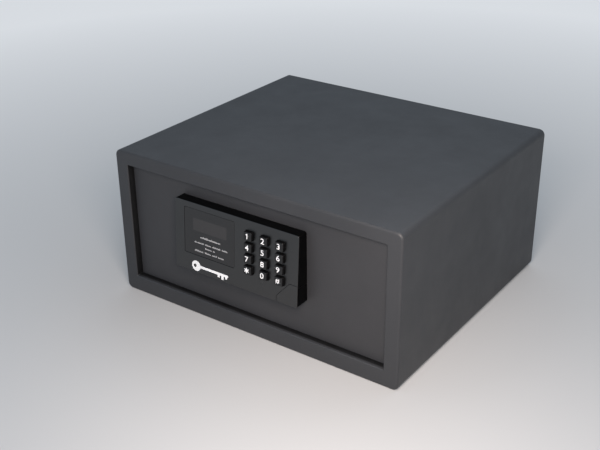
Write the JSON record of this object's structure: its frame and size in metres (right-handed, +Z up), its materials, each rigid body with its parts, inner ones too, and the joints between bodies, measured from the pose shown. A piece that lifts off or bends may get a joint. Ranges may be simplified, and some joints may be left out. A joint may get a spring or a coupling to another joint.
{
  "type": "in-room safe",
  "caption": "Laptop-size hotel room safe: folded steel box, recessed door on hidden pins, motor-driven sliding bolts and a raised keypad lock housing with a display window.",
  "frame": {"origin": "middle of the carcass underside", "axes": "+X to the right of a person facing the door, +Y into the safe, +Z up"},
  "size_m": [0.42, 0.3786, 0.2],
  "materials": {
    "carcass_paint": "textured powder coat, charcoal",
    "door_paint": "textured powder coat, charcoal",
    "housing_plastic": "fine-grained black moulding",
    "key_plastic": "moulded key cap with a printed white character",
    "cover_plastic": "fine-grained black moulding",
    "gearbox_plastic": "natural acetal",
    "zinc_steel": "zinc plated",
    "bright_steel": "turned, bright",
    "brass": "machined",
    "felt": "needle felt",
    "smoked_lens": "smoked, satin front",
    "lcd": "display glass in a dark bezel",
    "board_laminate": "green solder mask",
    "silicone": "silicone rubber",
    "cell_sleeve": "plain printed sleeve",
    "lead_red": "insulated wire",
    "lead_black": "insulated wire"
  },
  "bodies": {
    "carcass": {"body_wrap": "carcass_paint", "front_frame": "carcass_paint", "strike_plate": "carcass_paint", "back_panel": "carcass_paint", "floor_mat": "felt", "hole_plug_left": "cover_plastic", "hole_plug_right": "cover_plastic", "hinge_pin_top": "bright_steel", "hinge_pin_bottom": "bright_steel"},
    "door": {"door_plate": "door_paint", "hinge_block_top": "door_paint", "hinge_block_bottom": "door_paint", "lock_chassis": "zinc_steel", "guide_stud_left": "zinc_steel", "guide_stud_right": "zinc_steel", "gearbox": "gearbox_plastic", "motor": "bright_steel", "lock_housing": "housing_plastic", "display_lens": "smoked_lens", "lcd_module": "lcd", "circuit_board": "board_laminate", "key_mat": "silicone", "lock_cylinder": "bright_steel", "cylinder_nut": "zinc_steel", "inner_cover": "cover_plastic", "battery_tray": "cover_plastic", "cell_1": "cell_sleeve", "cell_2": "cell_sleeve", "cell_3": "cell_sleeve", "cell_4": "cell_sleeve", "motor_lead": "lead_red", "battery_lead": "lead_black", "cover_screw_1": "zinc_steel", "cover_screw_2": "zinc_steel", "cover_screw_3": "zinc_steel", "cover_screw_4": "zinc_steel", "cover_screw_5": "zinc_steel", "cover_screw_6": "zinc_steel"},
    "bolt_work": {"bolt_carriage": "zinc_steel", "bolt_upper": "bright_steel", "bolt_lower": "bright_steel"},
    "pinion": {"drive_pinion": "brass"},
    "emergency_plug": {"key_plug": "brass", "lock_cam": "zinc_steel"},
    "corner_cover": {"key_cover": "housing_plastic"},
    "battery_hatch": {"battery_door": "cover_plastic"},
    "cap_1": {"key_1": "key_plastic"},
    "cap_2": {"key_2": "key_plastic"},
    "cap_3": {"key_3": "key_plastic"},
    "cap_4": {"key_4": "key_plastic"},
    "cap_5": {"key_5": "key_plastic"},
    "cap_6": {"key_6": "key_plastic"},
    "cap_7": {"key_7": "key_plastic"},
    "cap_8": {"key_8": "key_plastic"},
    "cap_9": {"key_9": "key_plastic"},
    "cap_star": {"key_star": "key_plastic"},
    "cap_0": {"key_0": "key_plastic"},
    "cap_hash": {"key_hash": "key_plastic"}
  },
  "joints": [
    {"name": "door_hinge", "type": "hinge", "parent": "carcass", "child": "door", "pos_m": [0.169, -0.166, 0.1025], "axis": [0, 0, 1], "range_deg": [0, 100]},
    {"name": "bolt_slide", "type": "slide", "parent": "door", "child": "bolt_work", "axis": [-1, 0, 0], "range_m": [0, 0.018]},
    {"name": "pinion_spin", "type": "hinge", "parent": "door", "child": "pinion", "pos_m": [-0.04, -0.15, 0.115], "axis": [0, 1, 0], "range_deg": [0, 115]},
    {"name": "emergency_plug_turn", "type": "hinge", "parent": "door", "child": "emergency_plug", "pos_m": [0.0685, -0.17, 0.08198], "axis": [0, 1, 0], "range_deg": [0, 90]},
    {"name": "corner_cover_slide", "type": "slide", "parent": "door", "child": "corner_cover", "axis": [1, 0, 0], "range_m": [0, 0.022]},
    {"name": "battery_hatch_slide", "type": "slide", "parent": "door", "child": "battery_hatch", "axis": [0, 0, 1], "range_m": [0, 0.04]},
    {"name": "press_1", "type": "slide", "parent": "door", "child": "cap_1", "axis": [0, 0.9979, -0.0654], "range_m": [0, 0.0015], "stiffness_N_per_m": 600},
    {"name": "press_2", "type": "slide", "parent": "door", "child": "cap_2", "axis": [0, 0.9979, -0.0654], "range_m": [0, 0.0015], "stiffness_N_per_m": 600},
    {"name": "press_3", "type": "slide", "parent": "door", "child": "cap_3", "axis": [0, 0.9979, -0.0654], "range_m": [0, 0.0015], "stiffness_N_per_m": 600},
    {"name": "press_4", "type": "slide", "parent": "door", "child": "cap_4", "axis": [0, 0.9979, -0.0654], "range_m": [0, 0.0015], "stiffness_N_per_m": 600},
    {"name": "press_5", "type": "slide", "parent": "door", "child": "cap_5", "axis": [0, 0.9979, -0.0654], "range_m": [0, 0.0015], "stiffness_N_per_m": 600},
    {"name": "press_6", "type": "slide", "parent": "door", "child": "cap_6", "axis": [0, 0.9979, -0.0654], "range_m": [0, 0.0015], "stiffness_N_per_m": 600},
    {"name": "press_7", "type": "slide", "parent": "door", "child": "cap_7", "axis": [0, 0.9979, -0.0654], "range_m": [0, 0.0015], "stiffness_N_per_m": 600},
    {"name": "press_8", "type": "slide", "parent": "door", "child": "cap_8", "axis": [0, 0.9979, -0.0654], "range_m": [0, 0.0015], "stiffness_N_per_m": 600},
    {"name": "press_9", "type": "slide", "parent": "door", "child": "cap_9", "axis": [0, 0.9979, -0.0654], "range_m": [0, 0.0015], "stiffness_N_per_m": 600},
    {"name": "press_star", "type": "slide", "parent": "door", "child": "cap_star", "axis": [0, 0.9979, -0.0654], "range_m": [0, 0.0015], "stiffness_N_per_m": 600},
    {"name": "press_0", "type": "slide", "parent": "door", "child": "cap_0", "axis": [0, 0.9979, -0.0654], "range_m": [0, 0.0015], "stiffness_N_per_m": 600},
    {"name": "press_hash", "type": "slide", "parent": "door", "child": "cap_hash", "axis": [0, 0.9979, -0.0654], "range_m": [0, 0.0015], "stiffness_N_per_m": 600}
  ],
  "couplings": [
    {"joint": "pinion_spin", "follows": "bolt_slide", "rad_per_m": 111.11}
  ]
}
